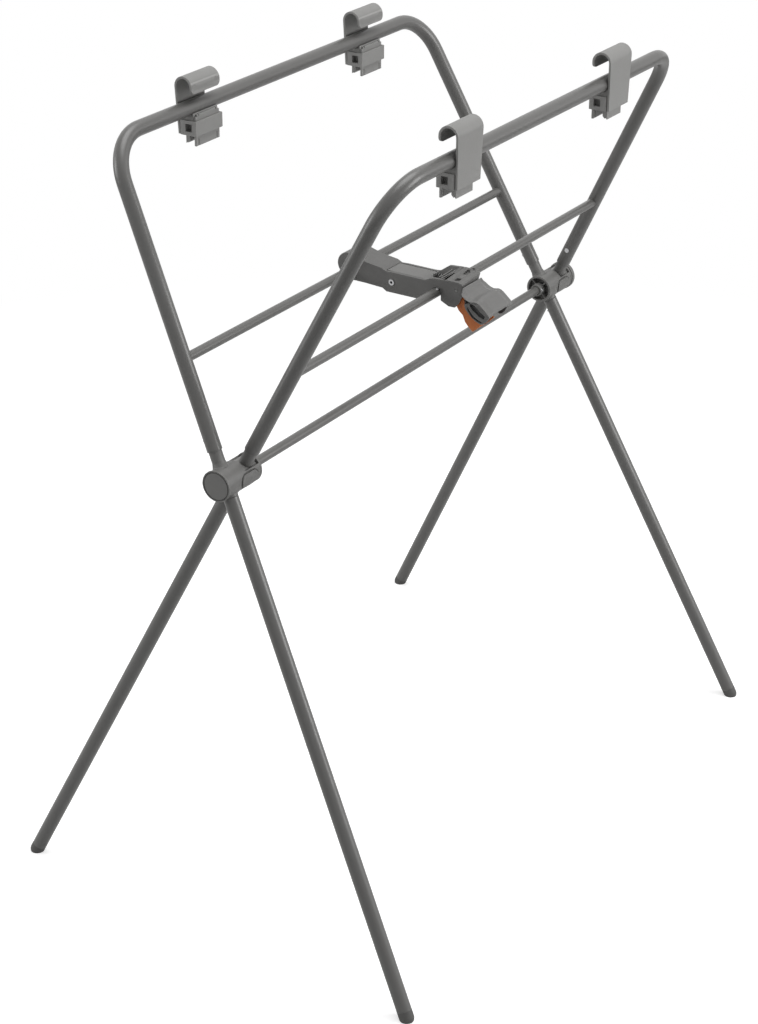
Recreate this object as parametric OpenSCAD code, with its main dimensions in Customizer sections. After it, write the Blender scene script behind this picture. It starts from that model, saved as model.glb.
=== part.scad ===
// Folding stand for a baby bath: two crossed tube frames turn on one hub axis,
// a hooked strut holds them open, and four rail clips carry the rim of the tub.
// Frame: X across the two rails, Y along the hub axis, Z up, feet on Z = 0.

/* [Frames] */
// Height of the hub axis above the floor
hub_h = 620; // [560:1:650]
// Distance between the middles of the near and far hubs
hub_span = 773; // [700:1:840]
// Distance along the hub axis between the tubes of frame A and frame B
pitch = 31; // [31:0.5:34]
// Lean of each frame from the vertical, in degrees
lean = 26.4; // [23:0.2:29]
// Splay of each leg within its frame, in degrees
splay = 6; // [4.5:0.25:7]
// Hub axis to rail axis, measured up the frame
rail_s = 420.5; // [400:0.5:440]
// Hub axis to crossbar axis, measured up the frame
cross_s = 151.5; // [146:0.5:158]
// Outer diameter of the main tubes
tube_d = 19; // [18.6:0.1:19.4]
// Wall of the main tubes
tube_wall = 1.2; // [1:0.1:1.5]
// Bend radius of the main tube, to its middle line
bend_r = 60; // [40:1:75]
// Outer diameter of the crossbars
cross_d = 12; // [11:0.5:13]
// Wall of the crossbars
cross_wall = 1.2; // [0.8:0.1:1.6]
// Outer diameter of the bar that joins the hubs
hub_bar_d = 12; // [11:0.5:12.5]
// Bore of the bar that joins the hubs
hub_bar_bore = 8.4; // [7.6:0.2:9]

/* [Hubs] */
// Radius of the hub barrel
barrel_r = 19; // [18.5:0.1:20]
// Barrel beyond the tube of frame A, towards the free end
barrel_front = 16; // [14:0.5:18]
// Barrel beyond the tube of frame B
barrel_back = 15; // [14.5:0.5:18]
// Wall of the barrel around the rotor
barrel_wall = 3; // [2.6:0.1:3.4]
// Radius of the flat end caps
cap_r = 20; // [20:0.1:21]
// Thickness of the end caps
cap_t = 3; // [2.5:0.1:4]
// Radial clearance of every running fit
fit_gap = 0.1; // [0.05:0.01:0.1]
// Hub axis to the cut end of the upper tube of frame A
tube_a_start = 38; // [34:0.5:42]
// Hub axis to the cut end of the upper tube of frame B
tube_b_start = 34; // [30:0.5:38]
// Hub axis to the bright rivet in each side of frame B
lock_b_s = 62; // [58:0.5:66]
// Hub axis to the cut ends of the four legs
leg_start = 21; // [20.5:0.1:23]
// Length of spigot inside each tube
spigot_grip = 30; // [24:1:36]
// How far frame B closes onto frame A, in degrees
fold = 43; // [36:0.5:43]

/* [Feet] */
// Height of the middle of the foot's round above the floor
foot_round = 3; // [2.6:0.1:4]
// Length of cap between the round and the end of the leg tube
foot_cap = 9; // [7:0.5:12]
// Length of plug inside the leg tube
foot_plug = 18; // [12:1:24]

/* [Strut] */
// Middle of the strut along the hub axis
strut_y = -16; // [-22:1:-10]
// Outer width of the strut
strut_w = 40; // [38:0.5:44]
// Wall of the strut sides
strut_wall = 2.6; // [2.2:0.1:3]
// Radius of the round end over crossbar A
eye_r = 16; // [15:0.5:17]
// Height of the round end's middle over the crossbar axis
eye_rise = 10; // [9:0.5:11]
// Depth of the strut below the crossbar axis
strut_drop = 15; // [14:0.5:16]
// Clearance of the hook around crossbar B
hook_gap = 0.4; // [0.3:0.05:0.6]
// Diameter of the rivet at the middle of the strut
rivet_d = 6; // [5:0.2:7]
// Width of the latch slide
slide_w = 30; // [26:0.5:31]
// Thickness of the latch slide's cover plate
slide_t = 2.4; // [2:0.1:2.8]
// Travel of the latch slide
slide_travel = 3.5; // [3:0.1:5]
// Wire diameter of the latch spring
spring_wire = 1; // [0.8:0.1:1.2]
// Outer diameter of the latch spring
spring_d = 7; // [6:0.5:8]
// Turns of the latch spring
spring_turns = 7; // [5:1:9]
// Width of the handle
handle_w = 46; // [42:0.5:50]
// Thickness of the handle shell
handle_t = 3; // [2.6:0.1:3.6]
// Width of the trigger
trigger_w = 32; // [28:0.5:33]
// Thickness of the trigger plate
trigger_t = 3; // [2.6:0.1:3.6]
// Diameter of the trigger pin
trigger_pin_d = 4; // [3.6:0.1:4.6]

/* [Rail clips] */
// Clip middle to the middle of the stand, along the rails
clip_y = 184.5; // [160:0.5:200]
// Width of the clip's hook
hook_w = 52; // [46:1:56]
// Thickness of the clip's hook
hook_t = 3; // [2.6:0.1:3.4]
// Hook top above the rail axis
hook_top = 41.5; // [38:0.5:46]
// Tongue tip above the rail axis
tongue_tip = 20.5; // [18:0.5:23]
// Outer radius of the hook's arch
arch_r = 13.2; // [12:0.1:14]
// Collar top below the rail axis
collar_top = 14; // [13.5:0.1:16]
// Collar bottom below the rail axis
collar_bottom = 33; // [30:0.5:36]
// Width of the collar
collar_w = 55; // [54:0.5:60]
// Wall of the collar
collar_wall = 2.4; // [2:0.1:2.8]
// Prong tips below the rail axis
prong_tip = 46; // [42:0.5:50]
// Width of the clamp body
body_w = 49; // [44:0.5:49.5]

/* [Fasteners] */
// Nominal diameter of the hub end screws
axle_screw_d = 6; // [5:0.5:6]
// Head diameter of the hub end screws
axle_head_d = 10.5; // [10:0.1:11]
// Diameter of the small plastic screws
small_screw_d = 3; // [2.6:0.1:3.2]
// Head diameter of the small plastic screws
small_head_d = 5.6; // [5:0.1:6]
// Diameter of the rivets that lock tubes to spigots
lock_rivet_d = 4; // [3.6:0.1:4.4]

/* [Hidden] */
$fn = 96;

tube_grey = [0.41, 0.41, 0.40];
hub_grey = [0.47, 0.47, 0.46];
clip_grey = [0.56, 0.56, 0.55];
dark_grey = [0.30, 0.30, 0.30];
orange = [0.72, 0.38, 0.17];
steel = [0.78, 0.78, 0.80];

tube_r = tube_d / 2;
bore_r = tube_r - tube_wall;
spigot_r = bore_r - fit_gap;
cross_r = cross_d / 2;
hub_bar_r = hub_bar_d / 2;
hub_half = hub_span / 2;
slope = tan(splay);
eps = 0.01;
wide = 400;

// Half distance between the leg axes of one frame at height s up that frame
function leg_y(s) = hub_half - s * slope;
// Frame A stands one half pitch towards the near end and leans to -X
function side(frame) = frame == "a" ? -1 : 1;
function tube_y(frame, end) = end * hub_half + side(frame) * pitch / 2;

// Draws a child made in the frame's own plane: x runs along Y, y runs up the frame
module in_frame(frame) {
    translate([0, side(frame) * pitch / 2, hub_h])
        rotate([0, side(frame) * lean, 0])
            rotate([90, 0, 90]) children();
}

// Round bar from one point to another in the plane of drawing
module rod(from, to, r) {
    d = to - from;
    translate([from.x, from.y, 0])
        rotate([0, 0, atan2(d.y, d.x)])
            rotate([0, 90, 0]) cylinder(h = norm(d), r = r);
}

// Cylinder along Y from y0 to y1
module along_y(y0, y1, r) {
    translate([0, y0, 0]) rotate([-90, 0, 0]) cylinder(h = y1 - y0, r = r);
}

// Point on a leg axis of end -1 or 1, at height s up the frame
function leg_point(end, s) = [end * leg_y(s), s];

/* ---- Tube frames ---- */

// Centre line of the bend at the top corner
corner_turn = 90 - splay;
corner_reach = bend_r * tan(corner_turn / 2);
corner_leg_s = rail_s - corner_reach * cos(splay);
rail_half = leg_y(rail_s) - corner_reach;

// A bend is drawn slightly fuller than the straight runs that reach into it
lap = 0.8;
swell = 0.03;

// Solid bent tube of radius r, from the cut end at height s over the rail and back
module bent_bar(s, r) {
    for (end = [-1, 1]) {
        rod(leg_point(end, s), leg_point(end, corner_leg_s + lap), r);
        rotate([0, end < 0 ? 180 : 0, 0])
            translate([rail_half, rail_s - bend_r, 0])
                rotate([0, 0, splay])
                    rotate_extrude(angle = corner_turn)
                        translate([bend_r, 0]) circle(r = r + swell);
    }
    rod([-rail_half - lap, rail_s], [rail_half + lap, rail_s], r);
}

// Height of the upper lock rivet of a frame above the hub axis
function upper_lock(frame) = frame == "a" ? tube_a_start + spigot_grip / 2 : lock_b_s;
lower_lock = -leg_start - spigot_grip / 2;

module frame_upper(frame, s) {
    color(tube_grey) in_frame(frame) difference() {
        bent_bar(s, tube_r);
        bent_bar(s - eps, bore_r);
        for (end = [-1, 1]) lock_rivets_at(frame, end, upper_lock(frame), 1);
    }
}

module crossbar(frame) {
    color(tube_grey) in_frame(frame) difference() {
        rod([-leg_y(cross_s), cross_s], [leg_y(cross_s), cross_s], cross_r);
        rod([-hub_half, cross_s], [hub_half, cross_s], cross_r - cross_wall);
        for (end = [-1, 1])
            rod(leg_point(end, cross_s - tube_d), leg_point(end, cross_s + tube_d), tube_r);
        if (frame == "b") catch_pin_bores();
    }
}

foot_s = -(hub_h - foot_round) / cos(lean);
leg_end_s = foot_s + foot_cap * cos(splay);

module leg(frame, end) {
    color(tube_grey) in_frame(frame) difference() {
        rod(leg_point(end, leg_end_s), leg_point(end, -leg_start), tube_r);
        rod(leg_point(end, leg_end_s - eps), leg_point(end, eps - leg_start), bore_r);
        lock_rivets_at(frame, end, lower_lock, 1);
    }
}

foot_lip = 0.4;
dome_steps = 8;
module foot(frame, end) {
    color(dark_grey) difference() {
        in_frame(frame) translate([end * leg_y(foot_s), foot_s, 0])
            rotate([0, 0, end * splay]) rotate([-90, 0, 0])
                rotate_extrude() polygon(concat(
                    [for (i = [0 : dome_steps])
                        tube_r * [sin(i * 90 / dome_steps), -cos(i * 90 / dome_steps)]],
                    [[tube_r, foot_cap - foot_lip], [tube_r - foot_lip, foot_cap],
                     [spigot_r, foot_cap], [spigot_r, foot_cap + foot_plug],
                     [0, foot_cap + foot_plug]]));
        translate([-wide, -2 * wide, -wide]) cube([2 * wide, 4 * wide, wide]);
    }
}

// Rivets that lock a spigot in its tube. The upper ones of frame B are driven from the inner
// side of the leg, and all the others from the side that faces -X.
rivet_head_r = lock_rivet_d * 0.85;
rivet_head_t = 0.9;
rivet_sink = 1;
function rivet_turn(frame, end, s) = frame == "b" && s > 0 ? [0, -end * 90, 0] : [180, 0, 0];
module lock_rivets_at(frame, end, s, grow) {
    translate([end * leg_y(s), s, 0])
        rotate([0, 0, end * splay])
            rotate(rivet_turn(frame, end, s))
                cylinder(h = tube_r + grow, d = lock_rivet_d);
}

module tube_rivets(frame) {
    color(steel) in_frame(frame)
        for (end = [-1, 1], at = [upper_lock(frame), lower_lock]) {
            lock_rivets_at(frame, end, at, 0);
            difference() {
                translate([end * leg_y(at), at, 0]) rotate([0, 0, end * splay])
                    rotate(rivet_turn(frame, end, at)) translate([0, 0, tube_r - rivet_sink])
                        cylinder(h = rivet_sink + rivet_head_t, r = rivet_head_r);
                rod(leg_point(end, at - tube_d), leg_point(end, at + tube_d), tube_r);
            }
        }
}

/* ---- Hubs ---- */

rotor_r = barrel_r - barrel_wall - fit_gap;
rotor_half = 11.2;
axle_r = hub_bar_r + fit_gap;
front_y = -barrel_front - pitch / 2;
back_y = barrel_back + pitch / 2;
room_front = pitch / 2 - rotor_half - fit_gap;
spigot_angle = asin(spigot_r / (barrel_r - barrel_wall));
slot_margin = 1;

// Moves a hub piece, drawn about the middle of its hub, to the near or far hub
module at_hub(end) {
    translate([0, end * hub_half, hub_h]) children();
}

// Wedge around the hub axis between two angles from the vertical, along Y
module slot_wedge(from, to, y0, y1) {
    reach = 2 * barrel_r;
    mid = (from + to) / 2;
    translate([0, y1, 0]) rotate([90, 0, 0]) linear_extrude(y1 - y0)
        polygon([[0, 0], for (a = [from, (from + mid) / 2, mid, (mid + to) / 2, to])
            [reach * sin(a), reach * cos(a)]]);
}

neck_len = 10;
boss_len = 32;
boss_r = 9;
boss_drop = 2;
boss_back = 6.5;
boss_rise = 1.3;
boss_groove = 1.1;
arc_steps = 10;
// Oval seen along X on the side of the barrel, as deep as it is told to be
module oval(grow, reach) {
    half = boss_len / 2 - boss_r;
    translate([0, pitch / 2 - boss_back, -boss_drop]) rotate([0, 90, 0]) linear_extrude(reach)
        polygon([for (turn = [0, 180], i = [0 : arc_steps]) let(a = turn + i * 180 / arc_steps)
            [(boss_r + grow) * cos(a), (turn == 0 ? half : -half) + (boss_r + grow) * sin(a)]]);
}

// Oval pad that stands a little proud of the barrel inside a narrow groove
module pad_groove() {
    difference() {
        oval(boss_groove, 2 * barrel_r);
        along_y(front_y, back_y, barrel_r - boss_groove);
    }
}

module pad() {
    difference() {
        intersection() {
            oval(0, 2 * barrel_r);
            along_y(front_y, back_y, barrel_r + boss_rise);
        }
        along_y(front_y, back_y, barrel_r - barrel_wall + 0.8);
    }
}

sleeve_out = 8;
module hub_barrel(end) {
    room_back = back_y + eps;
    color(hub_grey) at_hub(end) difference() {
        union() {
            difference() {
                union() {
                    difference() {
                        along_y(front_y, back_y, barrel_r);
                        pad_groove();
                    }
                    pad();
                    if (end > 0) along_y(front_y - sleeve_out, front_y + 2, sleeve_r);
                }
                along_y(room_front, room_back, barrel_r - barrel_wall);
                slot_wedge(lean - fold - spigot_angle - slot_margin,
                           lean + spigot_angle + slot_margin, room_front, room_back);
                slot_wedge(180 + lean - fold - spigot_angle - slot_margin,
                           180 + lean + spigot_angle + slot_margin, room_front, room_back);
            }
            translate([0, -pitch / 2, 0]) a_spigots(end);
        }
        along_y(front_y - sleeve_out - 1, back_y + 1, axle_r);
        // open mouth with ribs at the end that carries no disc
        mouth(end);
        lock_holes("a", end);
    }
}

// Upper and lower spigots of frame A with the cones that blend into the barrel
module a_spigots(end) {
    rotate([0, -lean, 0]) rotate([90, 0, 90]) translate([-end * hub_half, 0, 0]) {
        rod(leg_point(end, 0), leg_point(end, tube_a_start + spigot_grip), spigot_r);
        rod(leg_point(end, 0), leg_point(end, -leg_start - spigot_grip), spigot_r);
        rod(leg_point(end, 0), leg_point(end, -leg_start + 0.3), tube_r);
        translate([end * leg_y(barrel_r - 3), barrel_r - 3, 0])
            rotate([0, 0, end * splay]) rotate([-90, 0, 0])
                cylinder(h = neck_len, r1 = tube_r + 0.8, r2 = spigot_r - 0.5);
    }
}

mouth_depth = 9;
mouth_r = barrel_r - barrel_wall;
sleeve_r = hub_bar_r + 2.6;
rib_t = 1.6;
module mouth(end) {
    // the free end of the near hub takes a cap; the inner end of the far hub stays open
    difference() {
        along_y(front_y - 1, front_y + mouth_depth, mouth_r);
        if (end > 0) {
            along_y(front_y - 2, front_y + mouth_depth + 1, sleeve_r);
            for (a = [-132, -48, 48, 132]) rotate([0, a, 0])
                translate([0, front_y + 0.5, -rib_t / 2]) cube([mouth_r + 1, mouth_depth, rib_t]);
        }
    }
}

module lock_holes(frame, end) {
    translate([0, side(frame) * pitch / 2, 0]) rotate([0, side(frame) * lean, 0])
        rotate([90, 0, 90]) translate([-end * hub_half, 0, 0]) {
            lock_rivets_at(frame, end, upper_lock(frame), 0);
            lock_rivets_at(frame, end, lower_lock, 0);
        }
}

module hub_rotor(end) {
    color(hub_grey) at_hub(end) difference() {
        union() {
            translate([0, pitch / 2, 0]) along_y(-rotor_half, rotor_half, rotor_r);
            translate([0, pitch / 2, 0]) rotate([0, lean, 0]) rotate([90, 0, 90])
                translate([-end * hub_half, 0, 0]) {
                    rod(leg_point(end, 0), leg_point(end, lock_b_s + 2 * lock_rivet_d), spigot_r);
                    rod(leg_point(end, 0), leg_point(end, -leg_start - spigot_grip), spigot_r);
                }
        }
        along_y(-pitch, 2 * pitch, axle_r);
        lock_holes("b", end);
    }
}

// Disc that closes the free end of a hub
disc_plug = 4;
plug_wall = 2;
collar_t = 3.5;
seat_face = back_y + collar_t;
head_room = 5;
module hub_cap(end) {
    color(hub_grey) at_hub(end) {
        if (end < 0) difference() {
            union() {
                along_y(front_y - cap_t, front_y, cap_r);
                along_y(front_y - eps, front_y + disc_plug, mouth_r - fit_gap);
            }
            along_y(front_y, front_y + disc_plug + 1, mouth_r - plug_wall);
            ring_groove();
        }
        else difference() {
            along_y(seat_face, seat_face + head_room + cap_t / 2, cap_r);
            along_y(seat_face - 1, seat_face + head_room, axle_head_d / 2 + washer_lip + 1);
        }
    }
}

groove_r = cap_r - 2;
groove_t = 0.6;
module ring_groove() {
    difference() {
        along_y(front_y - cap_t - 1, front_y - cap_t + 0.5, groove_r);
        along_y(front_y - cap_t - 2, front_y - cap_t + 1, groove_r - groove_t);
    }
}

// Collar that closes the rotor's room at the back of each barrel
flare_len = 12;
flare_r = barrel_r - 4;
room_back_face = pitch / 2 + rotor_half + fit_gap;
module hub_collar(end) {
    color(hub_grey) at_hub(end) difference() {
        union() {
            along_y(back_y, back_y + collar_t, barrel_r);
            along_y(room_back_face, back_y + eps, barrel_r - barrel_wall - fit_gap);
            if (end < 0) translate([0, back_y + collar_t - eps, 0]) rotate([-90, 0, 0])
                cylinder(h = flare_len, r1 = flare_r, r2 = sleeve_r - 1);
        }
        along_y(0, back_y + collar_t + flare_len + 1, axle_r);
    }
}

/* ---- Axle ---- */

// The bar stops just short of both screw seats, so that the screws clamp the hubs
bar_inset = 1;
near_seat = -hub_half + front_y + mouth_depth;
far_seat = hub_half + seat_face;
plug_len = 16;
module hub_bar() {
    color(tube_grey) translate([0, 0, hub_h]) difference() {
        along_y(near_seat + bar_inset, far_seat - bar_inset, hub_bar_r);
        along_y(near_seat, far_seat, hub_bar_bore / 2);
    }
}

// Places a child, drawn with its seat at zero and its head towards -Y, at both seats
module at_seats() {
    translate([0, near_seat, hub_h]) children();
    translate([0, far_seat, hub_h]) rotate([0, 0, 180]) children();
}

module axle_plugs() {
    color(dark_grey) at_seats() difference() {
        along_y(bar_inset, bar_inset + plug_len, hub_bar_bore / 2);
        along_y(0, bar_inset + plug_len + 1, axle_screw_d / 2);
    }
}

washer_t = 1.2;
washer_lip = 2.5;
screw_head_t = 3;
socket_depth = 2;
socket_d = 5;
module axle_screws() {
    color(steel) at_seats() difference() {
        union() {
            along_y(-washer_t, plug_len - 1, axle_screw_d / 2);
            along_y(-washer_t - screw_head_t, -washer_t, axle_head_d / 2);
        }
        translate([0, -washer_t - screw_head_t - 1, 0]) rotate([-90, 0, 0])
            cylinder(h = socket_depth + 1, d = socket_d, $fn = 6);
    }
}

module axle_washers() {
    color(steel) at_seats() difference() {
        along_y(-washer_t, 0, axle_head_d / 2 + washer_lip);
        along_y(-washer_t - 1, 1, axle_screw_d / 2);
    }
}

/* ---- Strut: hinged on crossbar A, hooked over crossbar B ---- */

cross_x = cross_s * sin(lean);
cross_z = hub_h + cross_s * cos(lean);
span = 2 * cross_x;
inner_w = strut_w - 2 * strut_wall;

// Strut frame: x from the axis of crossbar A towards crossbar B, z up
module in_strut() {
    translate([-cross_x, strut_y, cross_z]) children();
}

// Extrudes an x-z outline by a width, centred on the strut's middle plane
module across(width) {
    rotate([90, 0, 0]) linear_extrude(width, center = true) children();
}

// Block centred across the strut between two x-z corners
module block(x0, z0, x1, z1, width) {
    translate([x0, -width / 2, z0]) cube([x1 - x0, width, z1 - z0]);
}

tail = 38;
jaw_z = 10;
cap_half = 13;
module strut_side() {
    polygon([
        [-cap_half, 0], [cap_half, 0], [cap_half, -cap_depth], [26, -cap_depth], [53, -11.3],
        [59, -strut_drop], [span - 17, -strut_drop], [span - 6, 1], [span, 2],
        [span + 6, 1], [span + 6, -jaw_z], [span + 10, -jaw_z - 2],
        [span + 18, -strut_drop - 0.6], [span + 27, -strut_drop - 0.4], [span + 33, -9],
        [span + tail - 1, 0], [span + tail, 16.4], [span + tail - 2, 18.4],
        [span + 31, 19.5], [span + 16, 19.3], [span - 6, 18], [span - 18, 13.1],
        [span / 2, 13.2], [58.5, 12.7], [52, 15.8], [30, 18.6], [8, 24.4], [0, 25]
    ]);
    translate([0, eye_rise]) circle(r = eye_r);
    polygon([[-cap_half, 0], [cap_half, 0], [eye_r - 1, eye_rise], [1 - eye_r, eye_rise]]);
}

floor_z = 5.6;
deck_z = 7.8;
plate_z = 10.4;
rail = 4;
step_x = 57;
hollow_from = span - 17;
hollow_to = span + 13;
claw_x = span + 12.5;
claw_t = 4;
tongue_w = 12;
slot_run = slide_travel + claw_t + 1.5;
module strut_body() {
    color(dark_grey * 1.1) in_strut() difference() {
        across(strut_w) strut_side();
        rotate([90, 0, 0]) cylinder(h = 2 * strut_w, r = cross_r + fit_gap, center = true);
        block(-2 * eye_r, -2 * eye_r, cap_half + 0.1, 0, 2 * strut_w);
        translate([span, 0, 0]) rotate([90, 0, 0])
            cylinder(h = 2 * strut_w, r = cross_r + hook_gap, center = true);
        block(eye_r, -2 * strut_drop, span + tail - 3, floor_z, inner_w);
        // bed of the latch slide and the hollow it runs into
        block(step_x, plate_z, span + 1, 3 * strut_drop, strut_w - 2 * rail);
        block(span - 40, deck_z, hollow_to, 3 * strut_drop, tongue_w + 1);
        block(hollow_from, deck_z, hollow_to, 3 * strut_drop, strut_w - 2 * rail);
        block(claw_x - 1, 0, claw_x + slot_run, plate_z + 0.4, tongue_w + 2);
        block(claw_x - 1, 0, claw_x + slot_run + 8, deck_z, tongue_w + 8);
        bridge_slots();
        rivet_hole(rivet_d / 2);
        pin_hole(trigger_pin_d / 2);
        trigger_room();
        cap_screws(0);
        handle_screw_bores();
    }
}

// Two rectangular pockets in the bridge
pocket_x = 7;
pocket_y = 9.4;
pocket_floor = 16;
module bridge_slots() {
    for (y = [-1, 1]) translate([span + 19, y * 10 - pocket_y / 2, pocket_floor])
        cube([pocket_x, pocket_y, 3 * strut_drop]);
}

rivet_z = -0.5;
module rivet_hole(r) {
    translate([span / 2, 0, rivet_z]) rotate([90, 0, 0])
        cylinder(h = 2 * strut_w, r = r, center = true);
}

pivot_x = span + 29;
pivot_z = 8;
module pin_hole(r) {
    translate([pivot_x, 0, pivot_z]) rotate([90, 0, 0])
        cylinder(h = 2 * strut_w, r = r, center = true);
}

knuckle_r = 4.4;
end_wall = 3;
end_wall_z = 4.5;
module trigger_room() {
    block(span + 14, -2 * strut_drop, span + tail - end_wall, pivot_z + knuckle_r + 0.6, inner_w);
    block(span + 14, -2 * strut_drop, span + tail + 1, end_wall_z, inner_w);
}

// Lower half of the bearing on crossbar A
cap_screw_x = 9.8;
cap_screw_y = 12;
cap_depth = 10;
module strut_eye_cap() {
    color(dark_grey) in_strut() difference() {
        across(strut_w) polygon([
            [-12, -0.1], [-10.5, -3.5], [-4, -8], [4, -cap_depth],
            [cap_half, -cap_depth], [cap_half, -0.1]]);
        rotate([90, 0, 0]) cylinder(h = 2 * strut_w, r = cross_r + fit_gap, center = true);
        cap_screws(0.05);
    }
}

screw_bite = 8;
cap_seat = -4;
module at_cap_screws() {
    for (y = [-1, 1]) translate([cap_screw_x, y * cap_screw_y, 0]) children();
}

module cap_screws(gap) {
    at_cap_screws() {
        translate([0, 0, -2 * cap_depth])
            cylinder(h = 2 * cap_depth + screw_bite, d = small_screw_d + 2 * gap);
        translate([0, 0, -2 * cap_depth])
            cylinder(h = 2 * cap_depth + cap_seat, d = small_head_d + 2 * gap);
    }
}

module strut_screws() {
    color(steel) in_strut() at_cap_screws() {
        translate([0, 0, cap_seat - 1]) cylinder(h = screw_bite - cap_seat + 1, d = small_screw_d);
        translate([0, 0, cap_seat - 2.6]) cylinder(h = 2.6, d = small_head_d);
    }
}

rivet_head = 1.2;
module strut_rivet() {
    color(steel) in_strut() translate([span / 2, 0, rivet_z]) rotate([90, 0, 0])
        difference() {
            union() {
                cylinder(h = strut_w, d = rivet_d, center = true);
                for (z = [-1, 1]) translate([0, 0, z * (strut_w + rivet_head) / 2])
                    cylinder(h = rivet_head, d = rivet_d + 2, center = true);
            }
            cylinder(h = 2 * strut_w, d = rivet_d - 2.4, center = true);
        }
}

/* ---- Latch ---- */

upstand_x = span - 12;
wedge_len = 8;
nose_z = -7.4;
hook_tab_x = span + 20.8;
tab_t = 2.2;
module latch_slide() {
    color(clip_grey) in_strut() {
        difference() {
            union() {
                across(slide_w) polygon([
                    [step_x + 0.5, plate_z + 0.1], [step_x + 0.5, plate_z + slide_t],
                    [span - 24, plate_z + slide_t], [span - 24 + wedge_len, plate_z + 0.1]]);
                across(tongue_w) polygon([
                    [span - 38, deck_z + 0.1], [span - 38, plate_z + 0.2],
                    [upstand_x - 2, plate_z + 0.2], [upstand_x - 2, plate_z + 7.6],
                    [upstand_x, plate_z + 7.6], [upstand_x, plate_z],
                    [claw_x + claw_t, plate_z], [claw_x + claw_t, 0],
                    [hook_tab_x + tab_t, 0], [hook_tab_x + tab_t, -12],
                    [hook_tab_x, -12], [hook_tab_x, -2.4], [claw_x + claw_t, -2.4],
                    [claw_x + claw_t, -10], [span + 4, -10], [span + 4, nose_z],
                    [claw_x, nose_z], [claw_x, deck_z + 0.1]]);
            }
        }
    }
}

spring_r = spring_d / 2;
spring_z = plate_z + 0.3 + spring_r;
spring_len = hollow_to - upstand_x - 0.2;
module latch_spring() {
    pitch_x = (spring_len - spring_wire) / spring_turns;
    color(steel) in_strut() translate([upstand_x + 0.1 + spring_wire / 2, 0, spring_z])
        for (i = [0 : spring_turns]) translate([i * pitch_x, 0, 0]) rotate([0, 90, 0])
            rotate_extrude() translate([spring_r - spring_wire / 2, 0])
                circle(d = spring_wire, $fn = 24);
}

finger_y = 8;
finger_t = 3;
peg = [span + 19, -7];
peg_r = 1.6;
module trigger() {
    color(orange) in_strut() difference() {
        union() {
            translate([pivot_x, 0, pivot_z]) rotate([90, 0, 0])
                cylinder(h = trigger_w, r = knuckle_r, center = true);
            across(trigger_w) trigger_plate();
            difference() {
                across(trigger_w) trigger_side();
                block(pivot_x - 20, -wide, tip + wide, wide, trigger_w - 2 * trigger_t);
            }
            for (y = [-1, 1]) translate([0, y * finger_y, 0]) across(finger_t)
                polygon([[pivot_x - 3, pivot_z + 2], [pivot_x + 2, pivot_z - 4],
                         [peg.x + 1.2, peg.y - 1.2], [peg.x - 1.5, peg.y + 0.4]]);
            translate([peg.x, 0, peg.y]) rotate([90, 0, 0])
                cylinder(h = 2 * finger_y, r = peg_r, center = true);
        }
        pin_hole(trigger_pin_d / 2 + fit_gap);
    }
}

// Side views of the lever, measured from the end of the strut: its finger face and its sides
tip = span + tail;
module trigger_plate() {
    translate([tip, 0]) polygon([
        [-13, 5], [-12, -8], [-10.7, -14.1], [-7.2, -19.6], [-1.2, -24.5], [2.4, -33.1],
        [7.6, -38.9], [13.7, -43.9], [15.8, -42.2], [9.6, -36.2], [5, -31.2], [1.4, -22.7],
        [-5, -17.6], [-7.8, -13], [-8.6, -6], [-6, 6]
    ]);
}

module trigger_side() {
    translate([tip, 0]) polygon([
        [-12.6, 0], [-12, -8], [-10.7, -14.1], [-7.2, -19.6], [-1.2, -24.5], [2.4, -33.1],
        [7.6, -38.9], [13.7, -43.9], [19.5, -39.4], [27.7, -31.4], [20, -27.6], [10, -19],
        [5, -12], [-1, -3], [-5, 4]
    ]);
}

module trigger_pin() {
    color(steel) in_strut() translate([pivot_x, 0, pivot_z]) rotate([90, 0, 0])
        cylinder(h = strut_w, d = trigger_pin_d, center = true);
}

/* ---- Handle ---- */

flange_t = 2.4;
liner_t = 1.2;
liner_gap = 0.1;
module handle_shell() {
    color(clip_grey) in_strut() difference() {
        union() {
            difference() {
                across(handle_w) at_tip() handle_side();
                across(handle_w - 2 * flange_t) at_tip() under_crest(handle_t);
                across(handle_w + 2) at_tip() handle_openings();
            }
            block(tip, end_wall_z, tip + handle_t, 12, inner_w);
        }
        handle_screw_bores();
    }
}

// Moves a side view drawn from the end of the strut to its place
module at_tip() {
    translate([tip, 0]) children();
}

// Waved back of the handle, from the strut's end to the lip
crest = [
    [0, 15], [2.6, 12.4], [5.4, 9.8], [8.6, 7.6], [12.6, 5.4], [17.2, 4.2], [21, 4.7],
    [24.7, 5.5], [28, 4.8], [31.6, 2.6], [37.5, -2.2], [42, -6.2], [44.6, -9], [45.4, -11.8]
];
module handle_side() {
    polygon(concat(crest, [
        [38.4, -22.9], [34.5, -26.6], [31, -27.8], [23, -24.7], [13, -17.5], [8, -12.4],
        [5.6, -8], [5.4, 7], [0, 12]
    ]));
}

// All that lies further than a wall's thickness under the crest
module under_crest(t) {
    polygon(concat([for (p = crest) [p.x - t * 0.35, p.y - t]],
                   [[46, -14], [46, -40], [-2, -40], [-2, 9]]));
}

// Hollow by the strut's end and two long slots in each side of the handle
module handle_openings() {
    polygon([[6.6, 7.2], [9.4, 4.6], [15.4, 0.4], [13.8, -2], [10.4, -4.2], [6.6, -4.6]]);
    polygon([[13.7, -3.4], [16.2, -2.9], [22, -7], [28, -11.2], [35.9, -16.4], [34.7, -19.8],
             [27.1, -16.8], [17.9, -11], [12.9, -6.7]]);
    polygon([[10, -8.8], [13.8, -13.4], [19.6, -18.4], [27, -22.4], [32.6, -24.1],
             [31.3, -25.8], [25.4, -24.2], [17.9, -20.4], [10.8, -12.6]]);
}

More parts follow.
